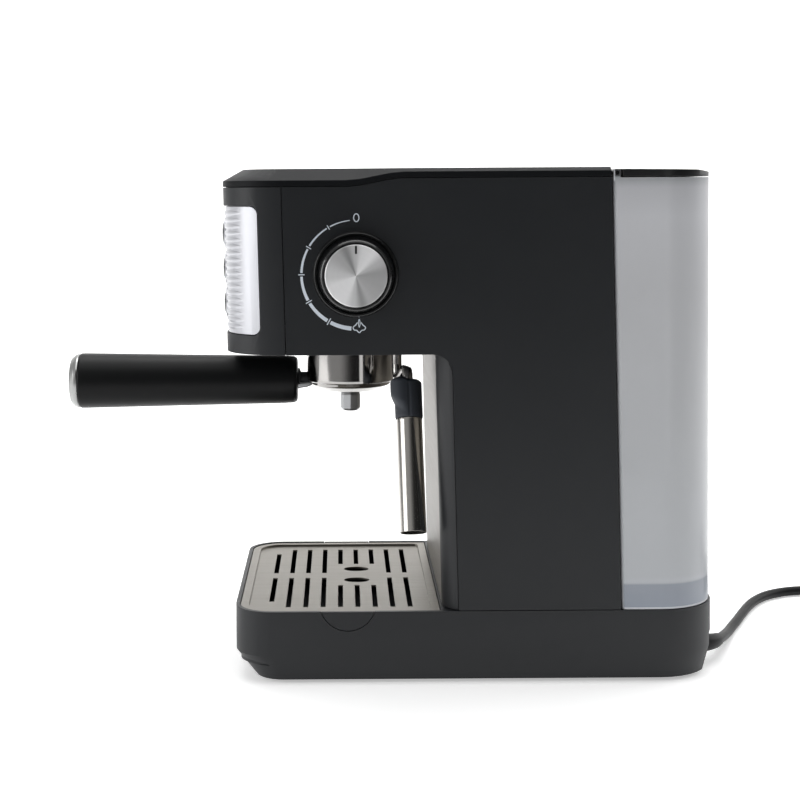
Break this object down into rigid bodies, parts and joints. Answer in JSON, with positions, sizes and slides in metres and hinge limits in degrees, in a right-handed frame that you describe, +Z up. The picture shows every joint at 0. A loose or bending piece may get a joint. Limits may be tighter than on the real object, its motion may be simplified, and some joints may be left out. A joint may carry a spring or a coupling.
{
  "type": "pump espresso machine",
  "caption": "Narrow pump espresso machine with ribbed front bezel, side steam knob, portafilter, frothing wand, drip tray, rear water tank with a hinged lid and a coiled mains cord.",
  "frame": {"origin": "centre of the floor of the box round the machine, portafilter and knob, without the mains cord", "axes": "+Z up, -Y to the front where the portafilter handle points, +X to the side with the steam knob"},
  "size_m": [0.2359, 0.6699, 0.327],
  "materials": {
    "black_plastic": "fine satin grain",
    "gloss_black": "gloss",
    "rubber": "matt",
    "silver_trim": "silver satin",
    "steel": "brushed",
    "chrome": "polished",
    "frosted_plastic": "smoky translucent satin",
    "aluminium": "satin",
    "brass": "machined",
    "white_plastic": "satin",
    "circuit": "lacquered"
  },
  "bodies": {
    "machine": {"base_pan": "black_plastic", "bottom_plate": "black_plastic", "side_shell_right": "black_plastic", "side_shell_left": "black_plastic", "head_front_cover": "black_plastic", "top_cover": "black_plastic", "head_floor": "black_plastic", "column_cover": "black_plastic", "rear_wall": "black_plastic", "dial_ring": "black_plastic", "tank_socket": "black_plastic", "pump": "gloss_black", "brew_thermostat": "gloss_black", "steam_thermostat": "gloss_black", "foot_front_left": "rubber", "foot_front_right": "rubber", "foot_rear_left": "rubber", "foot_rear_right": "rubber", "group_gasket": "rubber", "cord_strain_relief": "rubber", "power_cord": "rubber", "cord_coil": "rubber", "mains_plug": "rubber", "control_bezel": "silver_trim", "column_panel": "steel", "shower_screen": "steel", "shower_screw": "steel", "pump_bracket": "steel", "boiler_steam_tube": "steel", "plug_pin_front": "steel", "plug_pin_rear": "steel", "group_collar": "aluminium", "boiler_base": "aluminium", "boiler": "aluminium", "steam_valve": "brass", "wand_swivel_housing": "brass", "suction_hose": "white_plastic", "pressure_hose": "white_plastic", "steam_line": "white_plastic", "control_board": "circuit"},
    "power_button": {"power_button": "gloss_black"},
    "brew_button": {"brew_button": "gloss_black"},
    "steam_button": {"steam_button": "gloss_black"},
    "steam_control": {"steam_knob": "gloss_black", "steam_knob_cap": "aluminium", "valve_spindle": "brass"},
    "portafilter": {"portafilter_body": "chrome", "portafilter_handle": "black_plastic", "handle_end_cap": "silver_trim", "filter_basket": "steel", "portafilter_spout": "aluminium"},
    "steam_wand": {"steam_pipe": "chrome", "wand_grip": "rubber", "frother_sleeve": "steel", "frother_nozzle": "black_plastic"},
    "tray": {"drip_tray": "black_plastic"},
    "grille": {"drip_grille": "steel"},
    "tank": {"water_tank": "frosted_plastic", "tank_valve": "white_plastic"},
    "lid": {"tank_lid": "black_plastic"}
  },
  "joints": [
    {"name": "power_press", "type": "slide", "parent": "machine", "child": "power_button", "axis": [0, 1, 0], "range_m": [0, 0.0025], "stiffness_N_per_m": 600, "springref_m": -0.001},
    {"name": "brew_press", "type": "slide", "parent": "machine", "child": "brew_button", "axis": [0, 1, 0], "range_m": [0, 0.0025], "stiffness_N_per_m": 600, "springref_m": -0.001},
    {"name": "steam_press", "type": "slide", "parent": "machine", "child": "steam_button", "axis": [0, 1, 0], "range_m": [0, 0.0025], "stiffness_N_per_m": 600, "springref_m": -0.001},
    {"name": "steam_knob_turn", "type": "hinge", "parent": "machine", "child": "steam_control", "pos_m": [0.091, -0.01655, 0.2604], "axis": [1, 0, 0], "range_deg": [0, 180]},
    {"name": "portafilter_twist", "type": "hinge", "parent": "machine", "child": "portafilter", "pos_m": [-0.009, -0.01975, 0.2], "axis": [0, 0, 1], "range_deg": [-50, 0]},
    {"name": "steam_wand_swivel", "type": "hinge", "parent": "machine", "child": "steam_wand", "pos_m": [0.027, 0.01115, 0.2], "axis": [0, 0, 1], "range_deg": [-75, 5]},
    {"name": "drip_tray_lift", "type": "slide", "parent": "machine", "child": "tray", "axis": [0, 0, 1], "range_m": [0, 0.025]},
    {"name": "drip_grille_lift", "type": "slide", "parent": "tray", "child": "grille", "axis": [0, 0, 1], "range_m": [0, 0.014]},
    {"name": "water_tank_lift", "type": "slide", "parent": "machine", "child": "tank", "axis": [0, 0, 1], "range_m": [0, 0.28]},
    {"name": "tank_lid_hinge", "type": "hinge", "parent": "tank", "child": "lid", "pos_m": [-0.009, 0.14761, 0.3233], "axis": [1, 0, 0], "range_deg": [0, 90]}
  ]
}
